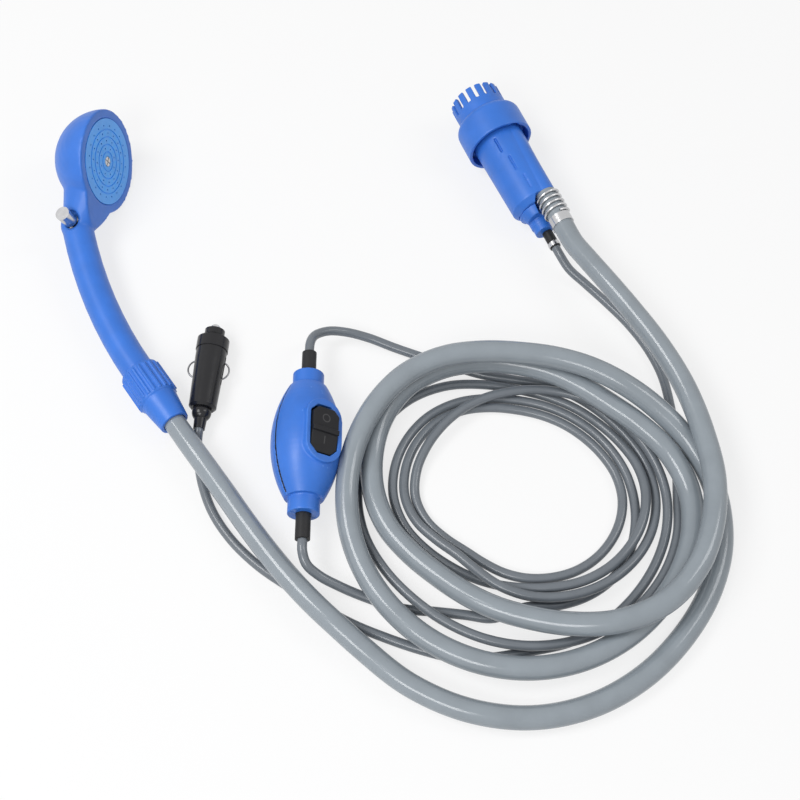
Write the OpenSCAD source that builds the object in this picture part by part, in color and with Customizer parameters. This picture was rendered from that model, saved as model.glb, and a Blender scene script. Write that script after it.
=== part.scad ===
// Camp shower pump set: submersible pump, hose, hand shower, cable with switch and vehicle plug
// Millimetres, +Z up, everything lies on a floor at z = 0

/* [Pump] */
// Radius over the strainer fins
fin_r = 18; // [16:0.25:19]
// Number of strainer fins
fin_count = 16; // [10:2:20]
// Width of a strainer slot
slot_w = 2.5; // [1.5:0.1:3.2]
// Depth of a strainer slot
slot_deep = 10; // [6:0.5:14]
// Radius of the strainer collar
collar_r = 23.5; // [22:0.25:28]
// Distance from the fin ends to the back of the collar
collar_back = 43; // [40:0.5:50]
// Radius of the pump body at the collar
body_front_r = 18; // [17:0.25:19]
// Radius of the pump body at its tail
body_r = 16.3; // [15:0.1:18]
// Distance from the fin ends to the back of the body
body_back = 101; // [96:0.5:120]
// Number of impeller vanes
vane_count = 6; // [4:1:8]

/* [Hose] */
// Outside diameter of the hose
hose_d = 14; // [12:0.25:16]
// Turns of the wire bend guard
guard_turns = 4.5; // [2:0.5:6]

/* [Hand shower] */
// Length of the curved handle along its middle
handle_long = 120; // [100:1:140]
// Radius of the handle
handle_r = 10.3; // [10:0.1:11.2]
// Radius of the shower head
head_r = 35; // [32:0.5:42]
// Radius of the spray disc
face_r = 28.8; // [26:0.2:32]
// Radius of the push-through valve pin
spool_r = 4.8; // [4:0.1:5.2]
// Travel of the valve pin
spool_travel = 8; // [5:0.5:9]
// Number of ribs on the union nut
rib_count = 20; // [12:1:28]

/* [Cable] */
// Outside diameter of the cable
cable_d = 6; // [4:0.25:8]

/* [Switch] */
// Largest radius of the switch shells
switch_r = 21.8; // [20:0.2:26]
// Length of the rocker
rocker_long = 32; // [28:0.5:33]
// Width of the rocker
rocker_wide = 18; // [15:0.5:19]

/* [Plug] */
// Largest radius of the plug
plug_r = 10.4; // [10:0.1:11]
// Length of the plug barrel
barrel_long = 42; // [38:0.5:56]
// Travel of the plug tip
tip_travel = 3; // [2:0.25:3.5]

/* [Hidden] */

$fn = 48;
over = 1;
fit = 0.02;
running = 0.04;
loose = 0.3;

BLUE = [0.16, 0.42, 0.86];
BLACK = [0.06, 0.06, 0.07];
GREY = [0.42, 0.45, 0.48];
STEEL = [0.72, 0.73, 0.75];
BRASS = [0.80, 0.64, 0.30];
COPPER = [0.72, 0.42, 0.25];
WHITE = [0.90, 0.90, 0.88];

spring_steps = 8;

// Cable and hose
cable_r = cable_d / 2;
cable_bore_r = cable_r + 2 * fit;
hose_r = hose_d / 2;
hose_wall = 2;
hose_bore_r = hose_r - hose_wall;
barb_drop = 0.5;
barb_r = hose_bore_r - barb_drop;
barb_top_r = hose_bore_r - fit;
barb_wall = 1.1;
barb_step = 6;
barb_lead = 2;
barb_long = 3.6;
barb_root = 0.1;
channel_r = barb_r - barb_wall;

// Pump: distances run from the fin ends towards the tail
fin_wall = 2.8;
strainer_in_r = fin_r - fin_wall;
shoulder_front = 19;
shoulder_r = collar_r - fin_r;
shoulder_at = shoulder_front + shoulder_r;
collar_wall = 2.3;
collar_in_r = collar_r - collar_wall;
drum_r = collar_in_r - loose;
drum_long = 9;
drum_set = 7;
drum_back = collar_back - drum_set;
drum_front = drum_back - drum_long;
cover_t = 2;
cover_front = drum_front - cover_t;
cover_gap = 0.4;
collar_floor = cover_front - cover_gap;
lug_bite = 0.8;
lug_r = collar_in_r + lug_bite;
lug_long = 3;
lug_low = drum_front + lug_long;
lug_high = lug_low + lug_long;
lug_arc = 14;
twist = 30;
chamber_wall = 4.1;
chamber_r = drum_r - chamber_wall;

ridge_turn = 146;
ridge_off = 12;
ridge_r = hose_r;
ridge_short = 4;
ridge_back = body_back - ridge_short;
ridge_pos = ridge_off * [cos(ridge_turn), sin(ridge_turn), 0];
body_mid_r = (body_front_r + body_r) / 2;
groove_w = 1.5;
groove_deep = 1.2;
groove_long = 12;
groove_first = 46;
groove_pitch = 17;
groove_count = 3;
groove_turn = 206;
groove_step = 9;
notch_first = 56;
notch_pitch = 18;
notch_long = 4;
notch_deep = 1.4;
notch_count = 2;

motor_off = 3.4;
motor_pos = -motor_off * [cos(ridge_turn), sin(ridge_turn), 0];
shaft_r = 1;
eye_r = 5;
impeller_r = 12;
impeller_gap = 1;
impeller_front = drum_front + impeller_gap + loose * 2;
impeller_back = drum_back - impeller_gap;
vane_t = 1.2;
vane_back = impeller_back - vane_t;
hub_r = 3;
seal_r = 3.9;
seal_wall = 1.5;
seal_long = 4;
seal_front = drum_back + seal_wall;
seal_back = seal_front + seal_long;
bay_r = 10.6;
motor_gap = 0.5;
motor_front = seal_back + motor_gap;
motor_long = 30;
motor_back = motor_front + motor_long;
can_slack = 0.4;
can_r = bay_r - can_slack;
can_wall = 0.8;
bush_r = 2.6;
bush_long = 3;
core_r = 6.6;
core_set = 6;
core_long = 16;
core_front = motor_front + core_set;
core_back = core_front + core_long;
slot_count = 5;
comm_r = 2.6;
comm_gap = 1;
comm_long = 5;
comm_front = core_back + comm_gap;
comm_back = comm_front + comm_long;
magnet_gap = 0.6;
magnet_in_r = core_r + magnet_gap;
magnet_set = 4;
magnet_long = 19;
magnet_front = motor_front + magnet_set;
magnet_back = magnet_front + magnet_long;
magnet_arc = 130;
end_cap_t = 4.2;
end_cap_back = motor_back + end_cap_t;
brush_w = 2;
brush_long = 2.5;
brush_front = comm_front + (comm_long - brush_long) / 2;
brush_back = brush_front + brush_long;

// Bend guard and clamp on the hose barb
guard_wire_r = 0.75;
guard_gap = 0.15;
guard_pitch = 4;
guard_set = 1.6;
guard_start = ridge_back + guard_set;
guard_mid_r = (hose_r + guard_wire_r + guard_gap) / cos(180 / spring_steps);
guard_clear_r = guard_mid_r + guard_wire_r + loose;
clamp_t = 0.7;
clamp_long = 6.5;
clamp_front = guard_start + guard_turns * guard_pitch + guard_wire_r + loose;
clamp_back = clamp_front + clamp_long;
hose_past = 1;
barb_back = clamp_front + hose_past;
hose_end = clamp_back + hose_past;

// Tail with the cable boss
tail_chamfer = 4;
dome_r = 11.6;
dome_end_r = 8.4;
dome_long = 6;
dome_back = body_back + dome_long;
dome_pos = motor_pos / 2;
cap_slack = 0.1;
cap_r = bay_r - cap_slack;
cap_long = 11;
cap_front = body_back - cap_long;
tail_ring_r = 0.8;
tail_ring_set = 7.5;
tail_ring_at = body_back - tail_ring_set;
tail_groove_r = bay_r - 2 * tail_ring_r - 3 * fit;
boss_pos = [5.6, -0.8, 0];
boss_gap = 0.8;
boss_r = norm(boss_pos - ridge_pos) - guard_mid_r - guard_wire_r - boss_gap;
boss_drop = 0.6;
boss_step_r = boss_r - boss_drop;
boss_step_long = 4;
boss_step = dome_back + boss_step_long;
boss_end_long = 5;
boss_back = boss_step + boss_end_long;
gland_pos = [7.2, 1, 0];
cable_set = 3;
cable_start = body_back - cable_set;
cable_sheath = 0.4;
lead_gap = (cable_r - cable_sheath) / 2;
lead_r = lead_gap - cable_sheath;
sleeve_wall = 0.6;
sleeve_r = cable_r + sleeve_wall;
sleeve_long = 13;
sleeve_back = boss_back + sleeve_long;
sleeve_ring_t = 0.5;
sleeve_ring_long = 3;
sleeve_ring_back = sleeve_back - 1.5 * sleeve_ring_t;
sleeve_ring_front = sleeve_ring_back - sleeve_ring_long;

// Hand shower: x runs from the hose side of the nut towards the head, y towards the spray side
nut_step = 19;
nut_long = 25;
nut_back = nut_step + nut_long;
nut_room = 3.2;
nut_bore_r = hose_r + nut_room;
nut_wall = 2.6;
nut_r = nut_bore_r + nut_wall;
nut_chamfer = 1;
rib_high = 0.9;
rib_r = nut_r + rib_high;
rib_w = 1.8;
rib_inset = 1.8;
nut_sleeve_wall = 2.1;
nut_sleeve_step = 1;
sleeve_small_r = hose_r + loose + nut_sleeve_wall;
sleeve_big_r = nut_r - nut_sleeve_step;
nut_lip = 4.1;
nut_shoulder = nut_step + nut_lip;
nut_slack = 0.4;
tail_flange_r = nut_bore_r - nut_slack;
tail_flange_t = 2;
tail_flange_front = nut_shoulder + nut_slack;
washer_t = 2;
washer_front = tail_flange_front + tail_flange_t;
washer_in_r = hose_bore_r;
spigot_front = washer_front + washer_t;
spigot_r = nut_bore_r - nut_slack;
tail_barb_end = 4;
hose_tail_out = -6;
handle_start = nut_back + nut_slack;

handle_lead = 2;
arc_at = nut_back + handle_lead;
arc_big_r = 318;
arc_deg = handle_long / arc_big_r * 180 / PI;
neck_pos = [arc_at + arc_big_r * sin(arc_deg), arc_big_r * (1 - cos(arc_deg)), 0];
neck_r = 11;
neck_reach = 14.6;
neck_long = head_r + neck_reach;
head_turn = 59.2;
head_pos = neck_pos + neck_long * [cos(head_turn), sin(head_turn), 0];
neck_turn = head_turn + 180;
neck_set = 4;
neck_wide_r = head_r - neck_set;
neck_slack = 0.6;
neck_end_r = neck_r - neck_slack;
face_turn = 135;
plate_t = 3;
plate_slack = 0.1;
gasket_t = 1.2;
gasket_w = 2.4;
gasket_slack = 0.4;
gasket_r = face_r - gasket_slack;
gasket_in_r = gasket_r - gasket_w;
head_chamber_r = gasket_in_r - gasket_slack;
head_chamber_deep = 15;
screw_boss_r = 3.8;
screw_head_r = 3.2;
screw_head_t = 1.3;
screw_shank_r = 1.4;
screw_long = 13;
spray_r = 0.6;
spray_ring_count = 4;
spray_pitch = 5;
spray_edge = 4.8;
spray_holes_first = 8;
spray_holes_step = 4;
face_groove_w = 0.8;
face_groove_deep = 0.5;
handle_bore_r = 6;
neck_bore_r = 3;
block_long = 14;
spool_show = 1.6;
spool_top = neck_r + spool_travel + spool_show;
spool_low = neck_r - spool_show;
spool_waist_deep = 1.8;
spool_waist_r = spool_r - spool_waist_deep;
spool_waist_long = 5;
spool_waist_lead = 1;
spool_waist_at = spool_waist_lead - spool_travel;
spool_ring_r = 0.7;
spool_ring_at = [-1.5, 3.6];
pocket_w = 1.8;
pocket_r = spool_r + pocket_w;
pocket_deep = 2.4;
pocket_at = neck_r - pocket_deep;

// Switch: z along the cable, x towards the rocker
switch_half = 38;
switch_end_r = 12;
neck_out = 10;
neck_half = switch_half + neck_out;
neck_ring_r = 9.8;
switch_wall = 2.2;
boot_wall = 1.6;
boot_r = cable_r + boot_wall;
boot_set = 2;
boot_in = switch_half + boot_set;
boot_show = 16;
boot_out = neck_half + boot_show;
cable_in = switch_half + loose;
seam_short = 1.5;
seam_half = switch_half - seam_short;
seam_w = 1.3;
seam_deep = 1.3;
switch_arc_r = (switch_half * switch_half + pow(switch_r - switch_end_r, 2))
    / (2 * (switch_r - switch_end_r));
profile_steps = 10;
bezel_drop = 0.6;
bezel_x = switch_r - bezel_drop;
bezel_rim = 3.5;
bezel_wide = rocker_wide + 2 * bezel_rim;
bezel_long = rocker_long + 3 * bezel_rim;
rocker_show = 2.2;
rocker_top_x = switch_r + rocker_show;
rocker_deep = 11;
rocker_low_x = rocker_top_x - rocker_deep;
pivot_up = 2;
rocker_pivot_x = rocker_low_x + pivot_up;
rocker_chamfer = 5;
rocker_clear = 0.5;
rocker_tilt = 7;
rocker_dish = 1.2;
rocker_crease = 4;
stem_w = 4;
stem_gap = 2;
rocker_pin_r = 1.2;
pin_hold = 3;
pin_half = rocker_wide / 2 + pin_hold;
pin_boss_r = 2.8;
pin_boss_t = 2.2;
lever_under = 5;
lever_x = rocker_low_x - lever_under;
lever_half = 9;
lever_w = 4;
lever_t = 0.8;
lever_tilt = 6;
lever_pin_r = 0.8;
contact_w = 4;
contact_floor = 5.8;
contact_base_x = contact_floor - switch_r;
contact_seat_wide = 12;
contact_seat_long = 20;
switch_screw_z = 28;
switch_screw_r = 1.25;
switch_screw_head_r = 2.6;
switch_screw_head_t = 2;
switch_screw_set = 8.8;
switch_screw_head_x = switch_screw_set - switch_r;
switch_screw_end_x = 9;
switch_boss_r = 3.6;

// Plug: z from the cable end towards the tip
plug_taper = 1.6;
plug_back_r = plug_r - plug_taper;
plug_edge = 1.5;
plug_step = 0.5;
plug_front_long = 5;
plug_bore_r = 6.6;
plug_floor = 6;
nose_ring_long = 8;
nose_ring_end = barrel_long + nose_ring_long;
nose_cap_long = 7;
nose_end = nose_ring_end + nose_cap_long;
nose_shoulder = 3;
nose_step = 0.8;
nose_big_r = plug_r - nose_step;
nose_small_r = 6.5;
nose_bore_r = 5.8;
nose_wall = 3;
nose_spigot = 5;
tip_r = 3;
tip_show = 1;
tip_end = nose_end + tip_travel + tip_show;
tip_flange_r = 5;
tip_flange_t = 2;
fuse_r = 3.2;
fuse_wall = 0.4;
fuse_long = 25;
fuse_cap = 5;
tip_spring_r = 2.6;
tip_spring_wire_r = 0.45;
tip_spring_turns = 6;
contact_at = 28;
contact_bow_r = 6.4;
contact_bow_deg = 150;
contact_bow_set = 3.6;
contact_bow_x = plug_r - contact_bow_set;
contact_wire_r = 0.55;
contact_foot = 15;
contact_foot_t = 1.2;
contact_foot_set = 1;
contact_foot_x = plug_bore_r + contact_foot_set;
contact_slot_w = 2.4;
contact_slot_long = 20;
plug_boot_long = 14;
plug_boot_end = -plug_boot_long;
plug_boot_wall = 1.4;
plug_boot_r = cable_r + plug_boot_wall;
plug_boot_end_r = cable_r + plug_boot_wall / 2;
bulb_r = 6.2;
bulb_at = -2.5;

// Placing of the four units on the floor, with the pump and hand shower centred on the origin
layout_shift = [-6, 3.5, 0];
floor_gap = 0.1;
pump_yaw = -66.5;
pump_dip = 3;
pump_at = layout_shift + [135, 84, collar_r * cos(pump_dip)];
handset_yaw = 125;
handset_up = rib_r + floor_gap;
handset_roll = 180 - asin((head_r - handset_up) / head_pos[1]);
handset_at = layout_shift + [-75.5, -129, handset_up];
switch_at = layout_shift + [7.5, -147, switch_r];
switch_roll = -55;
plug_yaw = 85.3;
plug_dip = atan(plug_taper / (barrel_long - plug_edge));
plug_up = plug_back_r * cos(plug_dip) - plug_edge * sin(plug_dip) + floor_gap;
plug_at = layout_shift + [-60, -116.5, plug_up];

// Turning of points, to place cord ends on the units
function turn_x(p, a) = [p[0], p[1] * cos(a) - p[2] * sin(a), p[1] * sin(a) + p[2] * cos(a)];
function turn_y(p, a) = [p[0] * cos(a) + p[2] * sin(a), p[1], p[2] * cos(a) - p[0] * sin(a)];
function turn_z(p, a) = [p[0] * cos(a) - p[1] * sin(a), p[0] * sin(a) + p[1] * cos(a), p[2]];
function on_pump(p) =
    pump_at + turn_z(turn_y([p[2] - collar_back, p[1], -p[0]], pump_dip), pump_yaw);
function on_handset(p) = handset_at + turn_z(turn_x(p, handset_roll), handset_yaw);
function on_switch(p) = switch_at + turn_x(turn_z(p, switch_roll), -90);
function on_plug(p) = plug_at + turn_z(turn_y([p[2], p[1], -p[0]], -plug_dip), plug_yaw);

// Cord routes: loops run clockwise round one centre, one station per eighth of a turn
function laid(points) = [for (p = points) p + layout_shift];
coil_at = [140, -175, 0] + layout_shift;
station_steps = 3;
hose_reach = [113, 109, 83, 76, 91, 100, 84.5, 79, 100.5, 106, 111.5, 110.5, 107, 100.5, 84, 90,
    118, 127, 138, 138];
hose_height = [29.2, 29.2, 18, 12, 10, 16, 20.6, 20.6, 13.8, 13.4, 13.6, 14, 20, 32, 35.6, 31.8,
    8.5, 7.2, 7.2, 10];
hose_first = laid([[187, -14, 29], [199, -33, 30], [213, -55, 30], [228, -81, 30], [241, -110, 29.5],
    [250, -145, 29]]);
hose_last = laid([[29, -261, 12.5], [15, -248, 13.6], [1, -233, 13.6], [-13, -216, 13.6],
    [-28, -196, 13.6], [-42, -176, 13.6], [-57, -155, 13.4]]);
pump_lane_reach = [95.5, 97, 97, 96, 101, 97, 76, 72, 75, 69, 60, 64, 79, 80, 68, 65, 68.5, 74, 71];
pump_lane_height = [3.1, 7, 9.7, 9.7, 3.1, 3.1, 3.1, 3.1, 9, 9.7, 5, 3.1, 3.1, 3.1, 3.1, 3.1, 3.1,
    3.1, 3.1];
pump_lane_first = laid([[178, -8, 8], [189, -18, 4.4], [202, -32, 3.1], [216, -50, 3.1],
    [227, -69, 3.1], [234, -88, 3.1], [237, -108, 3.1], [238, -125, 3.1], [238, -141, 3.1],
    [237, -156, 3.1]]);
pump_lane_last = laid([[118, -253, 3.1], [104, -251, 3.1], [86, -249, 3.1], [66, -247, 3.1],
    [46, -241, 4.5], [29, -235, 8.5], [17, -230, 13.5], [10, -225, 18.5]]);
plug_lane_start = -0.25;
plug_lane_reach = [83, 79, 82, 76, 66.5, 57.5, 72, 73.5, 61, 58, 61.5, 58.5, 53, 50.5, 65.5, 67,
    71.5, 80, 88, 90.5, 98];
plug_lane_height = [3.1, 3.1, 3.1, 9.7, 9.7, 9.7, 4.5, 3.1, 3.1, 3.1, 3.1, 3.1, 3.1, 3.1, 3.1, 9.8,
    9.8, 9.7, 6.4, 3.1, 3.1];
plug_lane_first = laid([[10, -68, 18.5], [18, -62, 14.5], [30, -60, 10], [44, -62, 6.5], [61, -68, 4],
    [80, -75, 3.1], [100, -82, 3.1], [118, -88, 3.1]]);
plug_lane_last = laid([[116, -277, 3.1], [98, -277, 3.1], [77, -272, 3.1], [57, -265, 3.1],
    [38, -257, 3.1], [20, -247, 3.1], [0, -234, 3.1], [-21, -219, 3.1], [-38, -202, 3.1],
    [-50, -184, 3.1], [-57, -166, 3.1], [-60.5, -151, 3.1], [-61.8, -143, 3.8], [-61.8, -137, 6]]);

function smooth(p0, p1, p2, p3, t) = 0.5 * (2 * p1 + (p2 - p0) * t
    + (2 * p0 - 5 * p1 + 4 * p2 - p3) * t * t + (3 * p1 - p0 - 3 * p2 + p3) * t * t * t);
function knot(list, i) = i < 0 ? 2 * list[0] - list[1]
    : i < len(list) ? list[i] : 2 * list[len(list) - 1] - list[len(list) - 2];
function between(list, i, t) =
    smooth(knot(list, i - 1), knot(list, i), knot(list, i + 1), knot(list, i + 2), t);
function loop_point(reach, height, start, k) =
    let (i = floor(k / station_steps), t = k / station_steps - i)
    let (a = -360 * (start + k / station_steps / 8), r = between(reach, i, t))
    [coil_at[0] + r * cos(a), coil_at[1] + r * sin(a), between(height, i, t)];
function loop_points(reach, height, start) =
    [for (k = [0 : (len(reach) - 1) * station_steps]) loop_point(reach, height, start, k)];

hose_from = concat([on_pump(ridge_pos + [0, 0, hose_end]),
    on_pump(ridge_pos + [0, 0, hose_end + hose_d])], hose_first);
hose_to = concat(hose_last, [on_handset([hose_tail_out - hose_d, 0, 0]),
    on_handset([hose_tail_out, 0, 0])]);
hose_loops = loop_points(hose_reach, hose_height, 0);
hose_path = concat(hose_from, hose_loops, hose_to);

pump_lane_from = concat([on_pump(gland_pos + [0, 0, cable_start]),
    on_pump(gland_pos + [0, 0, sleeve_back]), on_pump(gland_pos + [0, 0, sleeve_back + cable_d])],
    pump_lane_first);
pump_lane_to = concat(pump_lane_last, [on_switch([0, 0, -boot_out - cable_d]),
    on_switch([0, 0, -boot_out]), on_switch([0, 0, -cable_in])]);
pump_lane_loops = loop_points(pump_lane_reach, pump_lane_height, 0);
pump_lane_path = concat(pump_lane_from, pump_lane_loops, pump_lane_to);

plug_lane_from = concat([on_switch([0, 0, cable_in]), on_switch([0, 0, boot_out]),
    on_switch([0, 0, boot_out + cable_d])], plug_lane_first);
plug_lane_to = concat(plug_lane_last, [on_plug([0, 0, plug_boot_end - cable_d / 3]),
    on_plug([0, 0, plug_boot_end]), on_plug([0, 0, plug_floor])]);
plug_lane_loops = loop_points(plug_lane_reach, plug_lane_height, plug_lane_start);
plug_lane_path = concat(plug_lane_from, plug_lane_loops, plug_lane_to);

// Least gap between strands of one tube, measured at its rings
function strand_gap(path, skip, d) = min([for (i = [0 : len(path) - 1])
    for (j = [i + skip : 1 : len(path) - 1]) norm(path[i] - path[j])]) - d;
function way_long(path) = len(path) < 2 ? 0
    : let (steps = [for (i = [0 : len(path) - 2]) norm(path[i + 1] - path[i])])
    steps * [for (s = steps) 1];
strand_skip = 8;
echo(hose_gap = strand_gap(hose_loops, strand_skip, hose_d), hose_long = way_long(hose_path));
echo(pump_lane_gap = strand_gap(pump_lane_loops, strand_skip, cable_d),
    pump_lane_long = way_long(pump_lane_path));
echo(plug_lane_gap = strand_gap(plug_lane_loops, strand_skip, cable_d),
    plug_lane_long = way_long(plug_lane_path));

// Rings of a swept tube, square to its path
function unit(v) = v / norm(v);
function heading(path, i) = unit(path[min(i + 1, len(path) - 1)] - path[max(i - 1, 0)]);
function side_of(t) = unit(cross(t, [0, 0, 1]));
function ring_points(path, i, r, sides) =
    let (t = heading(path, i), s = side_of(t), u = cross(s, t))
    [for (k = [0 : sides - 1]) path[i] + r * (cos(360 * k / sides) * s + sin(360 * k / sides) * u)];

module swept(path, first, last, r, sides) {
    rings = last - first + 1;
    points = [for (i = [first : last]) each ring_points(path, i, r, sides)];
    skin_near = [for (i = [0 : rings - 2]) for (k = [0 : sides - 1])
        [i * sides + k, i * sides + (k + 1) % sides, (i + 1) * sides + k]];
    skin_far = [for (i = [0 : rings - 2]) for (k = [0 : sides - 1])
        [i * sides + (k + 1) % sides, (i + 1) * sides + (k + 1) % sides, (i + 1) * sides + k]];
    start_cap = [for (k = [1 : sides - 2]) [0, k + 1, k]];
    last_ring = (rings - 1) * sides;
    end_cap = [for (k = [1 : sides - 2]) [last_ring, last_ring + k, last_ring + k + 1]];
    polyhedron(points, concat(start_cap, skin_near, skin_far, end_cap));
}

run_sides = 10;
coil_sides = 6;
spring_sides = 6;

module coil_spring(mid_r, wire_r, turns, pitch) {
    path = [for (k = [0 : turns * spring_steps])
        [mid_r * cos(360 * k / spring_steps), mid_r * sin(360 * k / spring_steps),
            pitch * k / spring_steps]];
    swept(path, 0, len(path) - 1, wire_r, spring_sides);
}

module washer(out_r, in_r, from, to) {
    translate([0, 0, from]) difference() {
        cylinder(r = out_r, h = to - from);
        translate([0, 0, -over]) cylinder(r = in_r, h = to - from + 2 * over);
    }
}

module rod(r, from, to) {
    translate([0, 0, from]) cylinder(r = r, h = to - from);
}

module taper(from_r, to_r, from, to) {
    translate([0, 0, from]) cylinder(r1 = from_r, r2 = to_r, h = to - from);
}

module barbs(from, to) {
    count = floor((to - from) / barb_step);
    rod(barb_r, from - over, to);
    for (k = [0 : count - 1])
        taper(barb_top_r, barb_r - barb_root, from + barb_lead + k * barb_step,
            from + barb_lead + k * barb_step + barb_long);
}

module pump_place() {
    translate(pump_at) rotate([0, pump_dip, pump_yaw]) translate([-collar_back, 0, 0])
        rotate([0, 90, 0]) children();
}

// Outside of the pump body, with the place for the bend guard cut away
module body_form() {
    difference() {
        union() {
            taper(body_front_r, body_r, drum_back - over, body_back - tail_chamfer);
            taper(body_r, body_r - tail_chamfer, body_back - tail_chamfer, body_back);
            translate(ridge_pos) rod(ridge_r, drum_back - over, ridge_back);
        }
        translate(ridge_pos) rod(guard_clear_r, ridge_back, body_back + over);
        for (k = [0 : groove_count - 1])
            rotate([0, 0, groove_turn - k * groove_step])
                translate([body_mid_r - groove_deep, -groove_w / 2, groove_first + k * groove_pitch])
                cube([groove_deep + 2 * over, groove_w, groove_long]);
        for (k = [0 : notch_count - 1])
            rotate([0, 0, ridge_turn])
                translate([ridge_off, -ridge_r - over, notch_first + k * notch_pitch])
                cube([ridge_r / 2, over + notch_deep, notch_long]);
    }
}

module pump_housing() {
    color(BLUE) pump_place() difference() {
        union() {
            rod(drum_r, drum_front, drum_back);
            body_form();
            translate(ridge_pos) barbs(ridge_back, barb_back);
            for (a = [0, 180])
                rotate([0, 0, a]) translate([0, 0, lug_low]) rotate_extrude(angle = lug_arc)
                    translate([drum_r - over, 0]) square([lug_r - drum_r + over, lug_high - lug_low]);
        }
        rod(chamber_r, drum_front - over, drum_back);
        translate(ridge_pos) rod(channel_r, drum_back - over, barb_back + over);
        translate(motor_pos) rod(bay_r, motor_front, body_back + over);
        translate(motor_pos) rod(seal_r + fit, seal_front, motor_front + over);
        translate(motor_pos) rod(shaft_r + loose, drum_back - over, seal_front + over);
    }
}

module strainer_cap() {
    color(BLUE) pump_place() difference() {
        union() {
            rod(fin_r, 0, shoulder_at);
            translate([0, 0, shoulder_at]) rotate_extrude() translate([fin_r, 0]) circle(r = shoulder_r);
            rod(collar_r, shoulder_at, collar_back);
        }
        rod(strainer_in_r, -over, collar_back);
        rod(collar_in_r, collar_floor, collar_back + over);
        for (k = [0 : fin_count - 1])
            rotate([0, 0, 360 * (k + 0.5) / fin_count])
                translate([strainer_in_r - over, -slot_w / 2, -over])
                cube([fin_r - strainer_in_r + 2 * over, slot_w, slot_deep + over]);
        for (a = [0, 180]) rotate([0, 0, a]) bayonet_track();
    }
}

// Track that lets the collar turn over a lug, open to the back at its end
module bayonet_track() {
    track_r = lug_r + loose;
    gap_arc = 1;
    translate([0, 0, lug_low - loose]) rotate([0, 0, -twist - gap_arc])
        rotate_extrude(angle = twist + lug_arc + 2 * gap_arc)
        translate([collar_in_r - over, 0])
        square([track_r - collar_in_r + over, lug_high - lug_low + 2 * loose]);
    translate([0, 0, lug_low]) rotate([0, 0, -twist - gap_arc])
        rotate_extrude(angle = lug_arc + 2 * gap_arc)
        translate([collar_in_r - over, 0])
        square([track_r - collar_in_r + over, collar_back - lug_low + over]);
}

module volute_cover() {
    cover_r = drum_r - loose;
    spigot_deep = 0.8;
    color(BLUE) pump_place() difference() {
        union() {
            rod(cover_r, cover_front, drum_front);
            rod(chamber_r - 2 * loose, drum_front - over, drum_front + spigot_deep);
        }
        translate(motor_pos) rod(eye_r, cover_front - over, drum_front + spigot_deep + over);
    }
}

module impeller() {
    color(WHITE) pump_place() translate(motor_pos) difference() {
        union() {
            rod(hub_r, impeller_front, impeller_back);
            rod(impeller_r, vane_back, impeller_back);
            for (k = [0 : vane_count - 1])
                rotate([0, 0, 360 * k / vane_count])
                    translate([hub_r - over, hub_r - vane_t - over, impeller_front])
                    cube([impeller_r - hub_r, vane_t, vane_back - impeller_front + over / 2]);
        }
        rod(shaft_r + fit, impeller_front - over, impeller_back + over);
    }
}

module motor_shaft() {
    color(STEEL) pump_place() translate(motor_pos)
        rod(shaft_r, impeller_front + over / 2, end_cap_back + over);
}

module rotor_core() {
    slot_wide = 1.2;
    slot_to = 3;
    color(COPPER) pump_place() translate(motor_pos) difference() {
        washer(core_r, shaft_r + fit, core_front, core_back);
        for (k = [0 : slot_count - 1])
            rotate([0, 0, 360 * k / slot_count])
                translate([slot_to, -slot_wide / 2, core_front - over])
                cube([core_r, slot_wide, core_back - core_front + 2 * over]);
    }
}

module commutator() {
    color(COPPER) pump_place() translate(motor_pos)
        washer(comm_r, shaft_r + fit, comm_front, comm_back);
}

module motor_can() {
    color(STEEL) pump_place() translate(motor_pos) difference() {
        rod(can_r, motor_front, motor_back);
        rod(can_r - can_wall, motor_front + can_wall, motor_back + over);
        rod(bush_r + fit, motor_front - over, motor_front + can_wall + over);
    }
}

module motor_magnets() {
    color(GREY) pump_place() translate(motor_pos) for (a = [0, 180])
        rotate([0, 0, a - magnet_arc / 2]) translate([0, 0, magnet_front])
            rotate_extrude(angle = magnet_arc) translate([magnet_in_r, 0])
            square([can_r - can_wall - magnet_in_r, magnet_back - magnet_front]);
}

module motor_end_cap() {
    color(BLACK) pump_place() translate(motor_pos) difference() {
        rod(can_r - fit, motor_back, end_cap_back);
        rod(bush_r + fit, end_cap_back - bush_long, end_cap_back + over);
        rod(shaft_r + loose, motor_back - over, end_cap_back);
    }
}

module motor_brushes() {
    brush_out = 5.5;
    arm_t = 1;
    color(BRASS) pump_place() translate(motor_pos) for (a = [0, 180]) rotate([0, 0, a]) {
        translate([comm_r + running, -brush_w / 2, brush_front])
            cube([brush_out - comm_r, brush_w, brush_back - brush_front]);
        translate([brush_out - arm_t, -brush_w / 2, brush_front])
            cube([arm_t, brush_w, motor_back - brush_front]);
    }
}

module front_bush() {
    color(BRASS) pump_place() translate(motor_pos)
        washer(bush_r, shaft_r + running, motor_front, motor_front + bush_long);
}

module rear_bush() {
    color(BRASS) pump_place() translate(motor_pos)
        washer(bush_r, shaft_r + running, end_cap_back - bush_long, end_cap_back);
}

module shaft_seal() {
    color(BLACK) pump_place() translate(motor_pos)
        washer(seal_r, shaft_r + running, seal_front, seal_back);
}

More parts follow.
